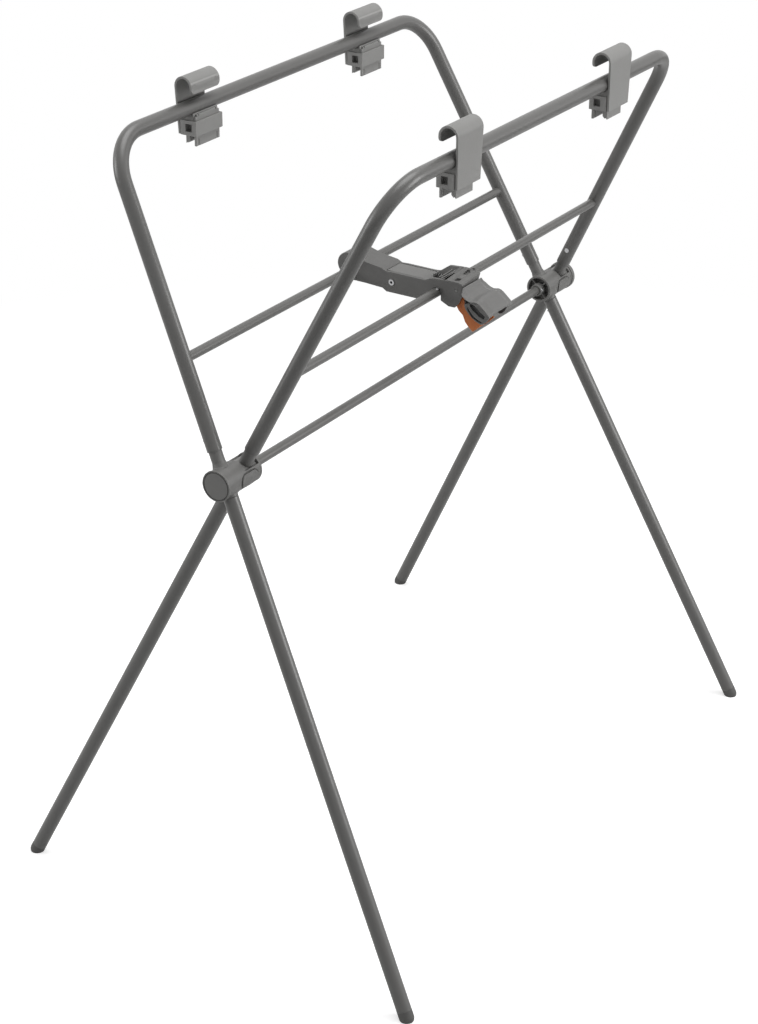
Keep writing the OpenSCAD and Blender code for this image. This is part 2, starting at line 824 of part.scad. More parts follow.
// Dark inner shell that backs the openings
module handle_liner() {
    outer = handle_w - 2 * (flange_t + liner_gap);
    color(dark_grey) in_strut() difference() {
        across(outer) at_tip() intersection() {
            handle_side();
            under_crest(handle_t + liner_gap);
            translate([handle_t + 1, -30]) square([37, 60]);
        }
        across(outer - 2 * liner_t) at_tip() under_crest(handle_t + liner_gap + liner_t);
    }
}

handle_screw_y = 11;
handle_screw_z = 7.6;
head_sink = 1.2;
small_head_t = 1.8;
module handle_screw_bores() {
    for (y = [-1, 1]) translate([tip - 10, y * handle_screw_y, handle_screw_z])
        rotate([0, 90, 0]) {
            cylinder(h = 10 + head_sink + eps, d = small_screw_d);
            translate([0, 0, 10 + head_sink]) cylinder(h = small_head_t + 0.2, d = small_head_d);
        }
}

module handle_screws() {
    color(steel) in_strut() for (y = [-1, 1])
        translate([tip, y * handle_screw_y, handle_screw_z]) rotate([0, 90, 0]) {
            translate([0, 0, -end_wall + 0.4]) cylinder(h = end_wall + head_sink, d = small_screw_d);
            translate([0, 0, head_sink]) cylinder(h = small_head_t, d = small_head_d);
        }
}

/* ---- Pins on crossbar B that keep the strut in its place ---- */

catch_pin_d = 3.4;
catch_pin_up = 2;
catch_gap = 1;
module at_catch_pins() {
    for (end = [-1, 1])
        translate([strut_y - pitch / 2 + end * (strut_w / 2 + catch_gap + catch_pin_d / 2),
                   cross_s, 0])
            rotate([-90, 0, 0]) children();
}

module catch_pin_bores() {
    at_catch_pins() cylinder(h = 2 * cross_r, d = catch_pin_d);
}

module catch_pins() {
    color(steel) in_frame("b") at_catch_pins() cylinder(h = cross_r + catch_pin_up, d = catch_pin_d);
}

/* ---- Rail clips ---- */

rail_x = rail_s * sin(lean);
rail_z = hub_h + rail_s * cos(lean);
seat_gap = 0.3;
seat_r = tube_r + seat_gap;
hook_out = seat_r + 0.2 + hook_t;
arch_x = hook_out - arch_r;
arch_z = hook_top - arch_r;

// Clip frame: x outwards from the rail axis, z up, middle of the clip at zero
module at_clip(frame, end) {
    translate([side(frame) * rail_x, end * clip_y, rail_z])
        mirror([frame == "a" ? 1 : 0, 0, 0]) children();
}

tongue_corner = 6;
module clip_hook(frame, end) {
    color(clip_grey) at_clip(frame, end) difference() {
        union() {
            block(hook_out - hook_t, -collar_bottom, hook_out, arch_z, hook_w);
            difference() {
                translate([arch_x, 0, arch_z]) rotate([90, 0, 0])
                    cylinder(h = hook_w, r = arch_r, center = true);
                translate([arch_x, 0, arch_z]) rotate([90, 0, 0])
                    cylinder(h = hook_w + 2, r = arch_r - hook_t, center = true);
                block(arch_x - 2 * arch_r, -wide, arch_x + 2 * arch_r, arch_z, 2 * hook_w);
            }
            tongue();
        }
        clip_screw_bores();
    }
}

// Free end of the hook with rounded corners
module tongue() {
    x0 = arch_x - arch_r;
    block(x0, tongue_tip + tongue_corner, x0 + hook_t, arch_z, hook_w);
    block(x0, tongue_tip, x0 + hook_t, arch_z, hook_w - 2 * tongue_corner);
    for (y = [-1, 1])
        translate([x0, y * (hook_w / 2 - tongue_corner), tongue_tip + tongue_corner])
            rotate([0, 90, 0]) cylinder(h = hook_t, r = tongue_corner);
}

body_in = -9.7;
body_out = seat_r + 0.1;
prong_w = 38;
jaw_t = 2.8;
jaw_gap = 0.1;
window_in = -8.4;
window_out = 0.6;
window_bottom = -28;
window_top = -18.5;
module clip_body(frame, end) {
    color(clip_grey) at_clip(frame, end) difference() {
        union() {
            block(body_in, -collar_bottom, body_out, -5, body_w);
            across(prong_w) polygon([
                [0.6, -collar_bottom + 1], [7, -collar_bottom + 1], [7, -prong_tip],
                [5, 2 - prong_tip], [3.6, 1 - prong_tip], [0.6, 4 - prong_tip]]);
        }
        rotate([90, 0, 0]) cylinder(h = 2 * collar_w, r = seat_r, center = true);
        for (y = [-1, 1]) translate([window_in, y * body_w / 2 - 4, window_bottom])
            cube([window_out - window_in, 8, window_top - window_bottom]);
        clip_screw_bores();
    }
}

collar_in = body_in - jaw_t - 0.2 - collar_wall;
collar_out = 9;
module clip_collar(frame, end) {
    color(clip_grey) at_clip(frame, end) difference() {
        block(collar_in, -collar_bottom, collar_out, -collar_top, collar_w);
        block(collar_in + collar_wall, -collar_bottom - 1, collar_out + 1, 0,
              collar_w - 2 * collar_wall);
        block(window_in, window_bottom, window_out, window_top, collar_w + 2);
    }
}

module clip_jaw(frame, end) {
    jaw_in = body_in - jaw_gap - jaw_t;
    color(clip_grey) at_clip(frame, end) difference() {
        union() {
            block(jaw_in, -prong_tip, body_in - jaw_gap, -9, body_w - 1);
            block(jaw_in, -10, body_in - jaw_gap, -6.5, body_w - 7);
        }
        for (y = [-1, 1]) translate([jaw_in - 1, y * (body_w / 2 - 7) - 0.6, -9])
            cube([jaw_t + 2, 1.2, 4]);
        for (y = [-1, 1]) translate([jaw_in - 1, y * (body_w / 2 - 6) - 0.6, -prong_tip - 1])
            cube([jaw_t + 2, 1.2, 10]);
        clip_screw_bores();
    }
}

clip_screw_y = 14;
clip_screw_z = -30.5;
module clip_screw_bores() {
    for (y = [-1, 1]) translate([collar_in + collar_wall, y * clip_screw_y, clip_screw_z])
        rotate([0, 90, 0])
            cylinder(h = hook_out - 1 - collar_in - collar_wall, d = small_screw_d);
}

module clip_screws(frame, end) {
    color(steel) at_clip(frame, end) for (y = [-1, 1])
        translate([body_in - jaw_gap - jaw_t, y * clip_screw_y, clip_screw_z])
            rotate([0, 90, 0])
                cylinder(h = hook_out - 1.2 - body_in + jaw_t, d = small_screw_d);
}

/* ---- Assembly ---- */

frame_upper("a", tube_a_start);  // frame_a_upper
frame_upper("b", tube_b_start);  // frame_b_upper
crossbar("a");  // crossbar_a
crossbar("b");  // crossbar_b
leg("a", -1);  // leg_a_near
leg("a", 1);  // leg_a_far
leg("b", -1);  // leg_b_near
leg("b", 1);  // leg_b_far
foot("a", -1);  // foot_a_near
foot("a", 1);  // foot_a_far
foot("b", -1);  // foot_b_near
foot("b", 1);  // foot_b_far
tube_rivets("a");  // tube_rivets_a
tube_rivets("b");  // tube_rivets_b
hub_barrel(-1);  // hub_barrel_near
hub_barrel(1);  // hub_barrel_far
hub_rotor(-1);  // hub_rotor_near
hub_rotor(1);  // hub_rotor_far
hub_cap(-1);  // hub_cap_near
hub_cap(1);  // hub_cap_far
hub_collar(-1);  // hub_collar_near
hub_collar(1);  // hub_collar_far
hub_bar();
axle_plugs();
axle_screws();
axle_washers();
strut_body();
strut_eye_cap();
strut_screws();
strut_rivet();
latch_slide();
latch_spring();
handle_shell();
handle_liner();
handle_screws();
trigger();
trigger_pin();
catch_pins();
clip_hook("a", -1);  // clip_a_near_hook
clip_body("a", -1);  // clip_a_near_body
clip_collar("a", -1);  // clip_a_near_collar
clip_jaw("a", -1);  // clip_a_near_jaw
clip_screws("a", -1);  // clip_a_near_screws
clip_hook("a", 1);  // clip_a_far_hook
clip_body("a", 1);  // clip_a_far_body
clip_collar("a", 1);  // clip_a_far_collar
clip_jaw("a", 1);  // clip_a_far_jaw
clip_screws("a", 1);  // clip_a_far_screws
clip_hook("b", -1);  // clip_b_near_hook
clip_body("b", -1);  // clip_b_near_body
clip_collar("b", -1);  // clip_b_near_collar
clip_jaw("b", -1);  // clip_b_near_jaw
clip_screws("b", -1);  // clip_b_near_screws
clip_hook("b", 1);  // clip_b_far_hook
clip_body("b", 1);  // clip_b_far_body
clip_collar("b", 1);  // clip_b_far_collar
clip_jaw("b", 1);  // clip_b_far_jaw
clip_screws("b", 1);  // clip_b_far_screws
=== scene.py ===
import math

import bpy
from mathutils import Matrix, Vector
from mathutils.bvhtree import BVHTree


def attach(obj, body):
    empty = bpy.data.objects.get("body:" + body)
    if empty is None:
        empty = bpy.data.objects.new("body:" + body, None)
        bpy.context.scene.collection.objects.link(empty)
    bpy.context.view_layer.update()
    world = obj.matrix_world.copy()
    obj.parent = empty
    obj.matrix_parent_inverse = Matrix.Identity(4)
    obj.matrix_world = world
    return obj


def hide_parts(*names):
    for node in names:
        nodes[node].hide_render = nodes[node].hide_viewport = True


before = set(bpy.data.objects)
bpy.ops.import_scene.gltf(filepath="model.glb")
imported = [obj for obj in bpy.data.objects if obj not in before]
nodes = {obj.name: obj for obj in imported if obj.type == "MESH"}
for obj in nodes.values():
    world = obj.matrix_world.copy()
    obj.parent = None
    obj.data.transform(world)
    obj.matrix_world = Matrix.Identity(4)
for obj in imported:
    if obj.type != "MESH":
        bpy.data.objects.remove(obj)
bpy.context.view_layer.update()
bpy.ops.object.select_all(action="DESELECT")

# ---------------------------------------------------------------- camera, floor and light
# The stand is seen from above one corner through a longish lens. It stands on a white sweep
# in a light studio: a broad soft lamp overhead and a window of light on either side.

CAMERA_AT = (1.5107, -2.4024, 1.8253)
CAMERA_TURN, CAMERA_DOWN = math.radians(32.893), math.radians(26.490)
CAMERA_ROLL = math.radians(0.106)
bpy.ops.object.camera_add()
camera = bpy.context.object
camera.name = "camera"
camera.data.sensor_width = 36.0
camera.data.lens = 82.0
camera.data.shift_x = 0.0007
camera.data.shift_y = -0.0001
camera.data.clip_end = 30.0
camera.matrix_world = (
    Matrix.Translation(CAMERA_AT)
    @ Matrix.Rotation(CAMERA_TURN, 4, "Z")
    @ Matrix.Rotation(math.pi / 2 - CAMERA_DOWN, 4, "X")
    @ Matrix.Rotation(CAMERA_ROLL, 4, "Z")
)
bpy.context.scene.camera = camera
bpy.context.scene.view_settings.view_transform = "Standard"


class Socket:
    """A shader value that can be added, multiplied and compared like a number."""

    def __init__(self, link, tree):
        self.link, self.tree = link, tree

    def maths(self, operation, other=None, swap=False, clamp=False):
        node = self.tree.nodes.new("ShaderNodeMath")
        node.operation, node.use_clamp = operation, clamp
        terms = [self] if other is None else ([other, self] if swap else [self, other])
        for slot, term in zip(node.inputs, terms):
            if isinstance(term, Socket):
                self.tree.links.new(term.link, slot)
            else:
                slot.default_value = term
        return Socket(node.outputs[0], self.tree)

    def __add__(self, other):
        return self.maths("ADD", other)

    def __radd__(self, other):
        return self.maths("ADD", other)

    def __sub__(self, other):
        return self.maths("SUBTRACT", other)

    def __rsub__(self, other):
        return self.maths("SUBTRACT", other, swap=True)

    def __mul__(self, other):
        return self.maths("MULTIPLY", other)

    def __rmul__(self, other):
        return self.maths("MULTIPLY", other)

    def held(self):
        """Held between 0 and 1."""
        return self.maths("ADD", 0.0, clamp=True)


class Finish:
    """A finish built node by node around one Principled shader."""

    def __init__(self, name):
        self.material = bpy.data.materials.new(name)
        self.material.use_nodes = True
        self.tree = self.material.node_tree
        self.shader = self.tree.nodes["Principled BSDF"]

    def feed(self, target, value):
        if isinstance(value, Socket):
            self.tree.links.new(value.link, target)
        else:
            target.default_value = value

    def node(self, kind, settings=None, output=0, **sockets):
        """A node of one type with its settings and the values or links of its sockets."""
        made = self.tree.nodes.new(kind)
        for key, value in (settings or {}).items():
            setattr(made, key, value)
        for key, value in sockets.items():
            name = int(key[1:]) if key[1:].isdigit() else key.replace("_", " ")
            self.feed(made.inputs[name], value)
        return Socket(made.outputs[output], self.tree)

    def surface(self, **sockets):
        for key, value in sockets.items():
            self.feed(self.shader.inputs[key.replace("_", " ")], value)

    def place(self):
        return self.node("ShaderNodeTexCoord", output="Object")

    def noise(self, scale, detail=2.0, roughness=0.5):
        return self.node("ShaderNodeTexNoise", Vector=self.place(), Scale=scale,
                         Detail=detail, Roughness=roughness)

    def tones(self, mask, dark, light):
        """Goes from one colour to another as the mask goes from 0 to 1."""
        return self.node("ShaderNodeMix", {"data_type": "RGBA"}, output=2,
                         n0=mask, n6=(*dark, 1), n7=(*light, 1))

    def over(self, mask, under, light):
        """Lays a plain colour over what is under it, where the mask is 1."""
        return self.node("ShaderNodeMix", {"data_type": "RGBA"}, output=2,
                         n0=mask, n6=under, n7=(*light, 1))

    def edges(self, start=0.52, gain=9.0):
        """1 on outer edges, where the surface is sharp, and 0 elsewhere."""
        sharp = self.node("ShaderNodeNewGeometry", output="Pointiness")
        return ((sharp - start) * gain).held()

    def relief(self, height, strength, distance):
        self.surface(Normal=self.node("ShaderNodeBump", Height=height, Strength=strength,
                                      Distance=distance))


# near the stand the sweep shows its shadows, and further out it runs into plain white
FLOOR_HALF = 9.0
FLOOR_GLOW = 0.55
WHITE_FROM, WHITE_GAIN = 0.9, 0.9
bpy.ops.mesh.primitive_plane_add(size=2 * FLOOR_HALF)
floor = bpy.context.object
floor.name = "floor"
paper = Finish("white_sweep")
paper.tree.nodes.remove(paper.shader)
seen = paper.node("ShaderNodeLightPath", output="Is Camera Ray")
matt = paper.node("ShaderNodeBsdfDiffuse", Color=(0.8, 0.8, 0.8, 1))
glow = paper.node("ShaderNodeEmission", Color=(1, 1, 1, 1), Strength=FLOOR_GLOW)
white = paper.node("ShaderNodeEmission", Color=(1, 1, 1, 1), Strength=1.0)
lifted = paper.node("ShaderNodeAddShader", n0=matt, n1=glow)
reach = paper.node("ShaderNodeVectorMath", {"operation": "LENGTH"}, output=1, n0=paper.place())
swept = paper.node("ShaderNodeMixShader", n0=((reach - WHITE_FROM) * WHITE_GAIN).held(),
                   n1=lifted, n2=white)
shown = paper.node("ShaderNodeMixShader", n0=seen, n1=matt, n2=swept)
paper.feed(paper.tree.nodes["Material Output"].inputs[0], shown)
floor.data.materials.append(paper.material)

# white to the camera and in reflections, and a soft fill for all other rays
AMBIENT = 0.3
world = bpy.data.worlds.new("studio")
world.use_nodes = True
bpy.context.scene.world = world
air = world.node_tree
paths = air.nodes.new("ShaderNodeLightPath")
mirrored = Socket(paths.outputs["Is Glossy Ray"], air)
clear = Socket(paths.outputs["Is Transmission Ray"], air)
shows = Socket(paths.outputs["Is Camera Ray"], air)
shows = shows.maths("MAXIMUM", mirrored).maths("MAXIMUM", clear)
background = air.nodes["Background"]
air.links.new((shows * (1.0 - AMBIENT) + AMBIENT).link, background.inputs["Strength"])
background.inputs["Color"].default_value = (1, 1, 1, 1)

STAND_MIDDLE = Vector((0.0, 0.0, 0.6))
for lamp_name, lamp_at, lamp_size, lamp_watts in (
    ("overhead", (0.2, 0.3, 3.6), 2.6, 62),
    ("window_right", (3.0, 1.3, 1.5), 1.8, 52),
    ("window_left", (-2.6, -1.9, 1.5), 1.6, 30),
):
    bpy.ops.object.light_add(type="AREA", location=lamp_at)
    lamp = bpy.context.object
    lamp.name = lamp_name
    lamp.data.shape = "DISK"
    lamp.data.size = lamp_size
    lamp.data.energy = lamp_watts
    lamp.rotation_euler = (STAND_MIDDLE - lamp.location).to_track_quat("-Z", "Y").to_euler()

# ---------------------------------------------------------------- tubes
# Thin-walled steel tube, bent cold into two upper frames and cut straight for legs and bars.
# Powder coated a warm dark grey, with a satin skin and a barely visible orange peel.

TUBE_DARK, TUBE_LIGHT = (0.085, 0.084, 0.080), (0.102, 0.100, 0.096)
coat = Finish("satin_powder_coat")
coat.surface(
    Base_Color=coat.tones(coat.noise(14.0, 3.0), TUBE_DARK, TUBE_LIGHT),
    Roughness=coat.noise(70.0) * 0.12 + 0.34,
    Coat_Weight=0.35,
    Coat_Roughness=0.28,
)
coat.relief(coat.noise(1500.0, 2.0), 0.1, 0.0002)


def dress(finish, *names):
    """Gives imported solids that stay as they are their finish."""
    for name in names:
        nodes[name].data.materials.clear()
        nodes[name].data.materials.append(finish.material)


dress(coat, "frame_a_upper", "frame_b_upper", "crossbar_a", "crossbar_b", "hub_bar",
      "leg_a_near", "leg_a_far", "leg_b_near", "leg_b_far")

# bright pop rivets lock each tube on its spigot, and small pins stand on crossbar B
ZINC_DARK, ZINC_LIGHT = (0.50, 0.50, 0.51), (0.68, 0.68, 0.69)
zinc = Finish("bright_zinc")
zinc.surface(
    Base_Color=zinc.tones(zinc.noise(420.0, 3.0), ZINC_DARK, ZINC_LIGHT),
    Roughness=zinc.noise(600.0) * 0.2 + 0.2,
    Metallic=1.0,
)
zinc.relief(zinc.noise(2200.0), 0.08, 0.0001)
dress(zinc, "tube_rivets_a", "tube_rivets_b", "catch_pins", "axle_screws", "axle_washers")

# ---------------------------------------------------------------- feet
# Push-in caps of dark soft nylon, as thick as the tube. The rounded end is cut flat where it
# stands on the floor, and a plug inside the tube holds it.

GRAIN_DEPTH = 0.0002


def nylon(name, dark, light, lit_edge_colour, lit_edge_share, mottle, skin, grain):
    """Moulded nylon: mottled, edges paler as a painted highlight, satin, fine spark texture."""
    made = Finish(name)
    scale, spread, least = skin
    made.surface(
        # the sharp edges are laid over with a lighter colour: a painted highlight along them
        Base_Color=made.over(made.edges() * lit_edge_share,
                             made.tones(made.noise(*mottle), dark, light), lit_edge_colour),
        Roughness=made.noise(scale) * spread + least,
    )
    scale, strength = grain
    made.relief(made.noise(scale), strength, GRAIN_DEPTH)
    return made


foot_nylon = nylon("foot_nylon", dark=(0.066, 0.065, 0.063), light=(0.085, 0.084, 0.081),
                   lit_edge_colour=(0.16, 0.158, 0.152), lit_edge_share=0.5, mottle=(90.0, 4.0),
                   skin=(300.0, 0.15, 0.5), grain=(2600.0, 0.2))
FOOT_ROUND = 0.0004
MERGE = 1e-6
FLAT_ANGLE = math.radians(0.5)
SMOOTH_ANGLE = math.radians(35)
THROWN_SHARE = 0.75


def raw_copy(name):
    """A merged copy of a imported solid, alone in edit mode with everything selected."""
    piece = bpy.data.objects.new(name + "_moulded", nodes[name].data.copy())
    bpy.context.scene.collection.objects.link(piece)
    bpy.ops.object.select_all(action="DESELECT")
    piece.select_set(True)
    bpy.context.view_layer.objects.active = piece
    bpy.ops.mesh.customdata_custom_splitnormals_clear()
    piece.data.materials.clear()
    bpy.ops.object.mode_set(mode="EDIT")
    bpy.ops.mesh.select_all(action="SELECT")
    bpy.ops.mesh.remove_doubles(threshold=MERGE)
    bpy.ops.mesh.dissolve_limited(angle_limit=FLAT_ANGLE)
    return piece


def pull_in(piece, skin, furthest):
    """Puts back on the old skin the few points that a crowded corner has thrown off it."""
    for point in piece.data.vertices:
        near, _, _, away = skin.find_nearest(point.co)
        if away > furthest:
            point.co = near


def finish_copy(piece, name, body, finish, round_edge, steps=2):
    """Rounds the edges that are still sharp and puts the copy in the place of its solid."""
    bpy.ops.object.mode_set(mode="OBJECT")
    if round_edge:
        piece.data.calc_loop_triangles()
        skin = BVHTree.FromPolygons([tuple(point.co) for point in piece.data.vertices],
                                    [tuple(face.vertices) for face in piece.data.loop_triangles])
        bevel = piece.modifiers.new("mould_round", "BEVEL")
        bevel.width = round_edge
        bevel.segments = steps
        bevel.limit_method = "ANGLE"
        bevel.angle_limit = SMOOTH_ANGLE
        bevel.use_clamp_overlap = False
        bpy.ops.object.modifier_apply(modifier=bevel.name)
        pull_in(piece, skin, THROWN_SHARE * round_edge)
    bpy.ops.object.shade_smooth_by_angle(angle=SMOOTH_ANGLE)
    weigh = piece.modifiers.new("even_shading", "WEIGHTED_NORMAL")
    weigh.keep_sharp = True
    bpy.ops.object.modifier_apply(modifier=weigh.name)
    piece.data.materials.append(finish.material)
    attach(piece, body)
    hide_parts(name)
    piece.select_set(False)


for foot in ("a_near", "a_far", "b_near", "b_far"):
    name = "foot_" + foot
    finish_copy(raw_copy(name), name, "frame_" + foot[0], foot_nylon, FOOT_ROUND)

# ---------------------------------------------------------------- hubs
# Each hub is a moulded barrel with frame A's spigots, a rotor inside it that carries frame B,
# a collar behind and a disc or seat in front. Glass-filled nylon with a fine spark texture.

hub_nylon = nylon("hub_nylon", dark=(0.118, 0.117, 0.113), light=(0.142, 0.140, 0.135),
                  lit_edge_colour=(0.24, 0.238, 0.23), lit_edge_share=0.55, mottle=(45.0, 4.0),
                  skin=(260.0, 0.14, 0.42), grain=(2400.0, 0.22))
for end in ("near", "far"):
    for part, body, soft in (("barrel", "frame_a", 0.0006), ("collar", "frame_a", 0.0006),
                             ("cap", "frame_a", 0.0007), ("rotor", "frame_b", 0)):
        name = f"hub_{part}_{end}"
        finish_copy(raw_copy(name), name, body, hub_nylon, soft)

# a bright screw holds the bar in the sleeve that stands out of the far hub's open mouth
SLEEVE_SCREW_AT = (0.0084, 0.3508, 0.6215)
SLEEVE_SCREW_SIDES, SLEEVE_SCREW_HEAD, SLEEVE_SCREW_RISE = 32, 0.0024, 0.0014
SLEEVE_SCREW_RIM, SLEEVE_SCREW_RECESS, SLEEVE_SCREW_ROUND = 0.0011, 0.0007, 0.0003
FACES_OUT = 0.9
bpy.ops.mesh.primitive_cylinder_add(vertices=SLEEVE_SCREW_SIDES, radius=SLEEVE_SCREW_HEAD,
                                    depth=SLEEVE_SCREW_RISE, location=SLEEVE_SCREW_AT,
                                    rotation=(0, math.pi / 2, 0))
sleeve_screw = bpy.context.object
sleeve_screw.name = "sleeve_screw"
bpy.ops.object.transform_apply(location=True, rotation=True, scale=True)
bpy.ops.object.mode_set(mode="EDIT")
bpy.ops.mesh.select_all(action="DESELECT")
bpy.ops.object.mode_set(mode="OBJECT")
for face in sleeve_screw.data.polygons:
    face.select = face.normal.x > FACES_OUT
bpy.ops.object.mode_set(mode="EDIT")
bpy.ops.mesh.inset(thickness=SLEEVE_SCREW_RIM)
bpy.ops.transform.translate(value=(-SLEEVE_SCREW_RECESS, 0, 0))
bpy.ops.object.mode_set(mode="OBJECT")
soften = sleeve_screw.modifiers.new("turned_edge", "BEVEL")
soften.width = SLEEVE_SCREW_ROUND
soften.segments = 2
soften.limit_method = "ANGLE"
bpy.ops.object.modifier_apply(modifier=soften.name)
bpy.ops.object.shade_smooth_by_angle(angle=SMOOTH_ANGLE)
sleeve_screw.data.materials.append(zinc.material)
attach(sleeve_screw, "frame_a")
sleeve_screw.select_set(False)

# black nylon for the plugs inside the bar's ends; on the handle's inner shell it is painted
# shade
BLACK_DARK, BLACK_LIGHT = (0.010, 0.010, 0.010), (0.018, 0.018, 0.018)
black_nylon_and_painted_shade = Finish("black_nylon_and_painted_shade")
black_nylon_and_painted_shade.surface(
    Base_Color=black_nylon_and_painted_shade.tones(black_nylon_and_painted_shade.noise(60.0), BLACK_DARK, BLACK_LIGHT),
    Roughness=black_nylon_and_painted_shade.noise(300.0) * 0.1 + 0.5,
)
black_nylon_and_painted_shade.relief(black_nylon_and_painted_shade.noise(2000.0), 0.15, GRAIN_DEPTH)
dress(black_nylon_and_painted_shade, "axle_plugs")

# ---------------------------------------------------------------- strut
# A moulded link hinged on crossbar A and hooked over crossbar B. A lighter cover plate slides
# in its bed and carries the latch; a coil spring behind it pushes it back.

strut_nylon = nylon("strut_nylon", dark=(0.100, 0.099, 0.096), light=(0.120, 0.118, 0.114),
                    lit_edge_colour=(0.23, 0.228, 0.22), lit_edge_share=0.5, mottle=(40.0, 4.0),
                    skin=(240.0, 0.14, 0.46), grain=(2400.0, 0.25))
STRUT_ROUND, STRUT_ROUND_STEPS = 0.0009, 3
# all places on the strut are measured from the axis of crossbar A, midway across the strut
EYE_AT = Vector((-0.06736, -0.016, 0.75574))
STRUT_WALL_IN, FLARE_FROM, FLARE_TO, FLARE_OUT = 0.0150, 0.0085, 0.0180, 0.0055
FLARE_START, FLARE_FULL, FLARE_UP = 0.108, 0.132, 0.0040
FLARE_SLICE, FLARE_SLICES, FLARE_LAYER, FLARE_LAYERS = 0.004, 16, 0.0024, 4
POCKETS_FROM, POCKETS_MID, POCKETS_TO = 0.1530, 0.1570, 0.1612
POCKET_IN, POCKET_OUT, POCKET_FLOOR = 0.0045, 0.0155, 0.0155
POCKET_SHIFT, POCKET_STRETCH, POCKET_SKEW = 0.0030, 0.0070, 0.0015


def ease(value):
    """Goes softly from 0 to 1 as the value does."""
    value = min(max(value, 0.0), 1.0)
    return value * value * (3 - 2 * value)


def slice_up(axis, places):
    """Cuts the mesh in edit mode across one axis, without opening it."""
    normal = [0, 0, 0]
    normal[axis] = 1
    for place in places:
        spot = [0, 0, 0]
        spot[axis] = place
        bpy.ops.mesh.select_all(action="SELECT")
        bpy.ops.mesh.bisect(plane_co=spot, plane_no=normal)


strut_body = raw_copy("strut_body")
slice_up(0, [EYE_AT.x + FLARE_START + FLARE_SLICE * step for step in range(FLARE_SLICES)])
slice_up(2, [EYE_AT.z + FLARE_FROM + FLARE_LAYER * step for step in range(FLARE_LAYERS)])
bpy.ops.object.mode_set(mode="OBJECT")
# the two pockets in the deck lie a little skew, and the far one reaches further
for point in strut_body.data.vertices:
    along, across, up = point.co - EYE_AT
    in_pocket = POCKET_IN < abs(across) < POCKET_OUT and up > POCKET_FLOOR
    if in_pocket and POCKETS_FROM < along <= POCKETS_MID:
        point.co.x += POCKET_SHIFT
    elif in_pocket and POCKETS_MID < along < POCKETS_TO:
        point.co.x += POCKET_STRETCH + POCKET_SKEW * math.copysign(1, across)
# the far wall flares outwards along its top, from shortly before crossbar B to the strut's end
for point in strut_body.data.vertices:
    along, across, up = point.co - EYE_AT
    if across > 0 and along > FLARE_START:
        run = ease((along - FLARE_START) / (FLARE_FULL - FLARE_START))
        rise = ease((up - FLARE_FROM) / (FLARE_TO - FLARE_FROM))
        rise *= min(across / STRUT_WALL_IN, 1)
        point.co.y += FLARE_OUT * run * rise
        point.co.z += FLARE_UP * run * rise
bpy.ops.object.mode_set(mode="EDIT")
finish_copy(strut_body, "strut_body", "strut", strut_nylon,
            STRUT_ROUND, STRUT_ROUND_STEPS)
finish_copy(raw_copy("strut_eye_cap"), "strut_eye_cap", "strut", strut_nylon,
            STRUT_ROUND, STRUT_ROUND_STEPS)

# three thin bowed ribs bridge the hollow by crossbar B, near the top of the walls
RIB_BOW, RIB_THICK, RIB_TOP, RIB_MIDDLE = 0.110, 0.0012, 0.0190, 0.002
RIB_FROM, RIB_TO, RIB_STEPS = -0.0150, 0.0175, 12
RIBS_ALONG = (0.1360, 0.1405, 0.1450)
for number, rib_along in enumerate(RIBS_ALONG):
    middle = EYE_AT + Vector((rib_along - RIB_BOW, RIB_MIDDLE, RIB_TOP - RIB_THICK / 2))
    half_turn = math.asin((RIB_TO - RIB_FROM) / 2 / RIB_BOW)
    bpy.ops.mesh.primitive_plane_add(size=RIB_THICK, rotation=(math.pi / 2, 0, 0),
                                     location=middle + Vector((RIB_BOW, 0, 0)))
    rib = bpy.context.object
    rib.name = f"hollow_rib_{number + 1}"
    bpy.ops.object.transform_apply(location=True, rotation=True, scale=True)
    rib.data.transform(Matrix.Translation(middle) @ Matrix.Rotation(half_turn, 4, "Z")
                       @ Matrix.Translation(-middle))
    bpy.ops.object.mode_set(mode="EDIT")
    bpy.ops.mesh.select_all(action="SELECT")
    bpy.ops.mesh.spin(steps=RIB_STEPS, angle=2 * half_turn, center=middle, axis=(0, 0, 1))
    bpy.ops.mesh.select_all(action="SELECT")
    bpy.ops.mesh.normals_make_consistent(inside=False)
    bpy.ops.object.mode_set(mode="OBJECT")
    bpy.ops.object.shade_smooth_by_angle(angle=SMOOTH_ANGLE)
    rib.data.materials.append(strut_nylon.material)
    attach(rib, "strut")
    rib.select_set(False)

plate_nylon = nylon("latch_nylon", dark=(0.128, 0.127, 0.123), light=(0.145, 0.143, 0.139),
                    lit_edge_colour=(0.24, 0.238, 0.23), lit_edge_share=0.5, mottle=(50.0, 3.0),
                    skin=(240.0, 0.12, 0.48), grain=(2400.0, 0.2))
PLATE_ROUND = 0.0005
finish_copy(raw_copy("latch_slide"), "latch_slide", "latch", plate_nylon,
            PLATE_ROUND)

STEEL_DARK, STEEL_LIGHT = (0.10, 0.10, 0.10), (0.17, 0.17, 0.165)
dull_steel = Finish("oiled_spring_steel")
dull_steel.surface(
    Base_Color=dull_steel.tones(dull_steel.noise(500.0), STEEL_DARK, STEEL_LIGHT),
    Roughness=dull_steel.noise(400.0) * 0.2 + 0.35,
    Metallic=0.8,
)
dull_steel.relief(dull_steel.noise(1800.0), 0.1, 0.0001)
dress(dull_steel, "latch_spring", "handle_screws")
dress(strut_nylon, "trigger_pin")
dress(zinc, "strut_rivet", "strut_screws")

# ---------------------------------------------------------------- handle and trigger
# The grip is a waved shell that curls down at both sides, with slots that lighten its flanks
# and a black inner shell that paints shade behind them. The lever under it is moulded in orange
# nylon.

shell_nylon = nylon("handle_nylon", dark=(0.140, 0.139, 0.135), light=(0.158, 0.156, 0.152),
                    lit_edge_colour=(0.26, 0.258, 0.25), lit_edge_share=0.5, mottle=(50.0, 4.0),
                    skin=(240.0, 0.12, 0.46), grain=(2400.0, 0.22))
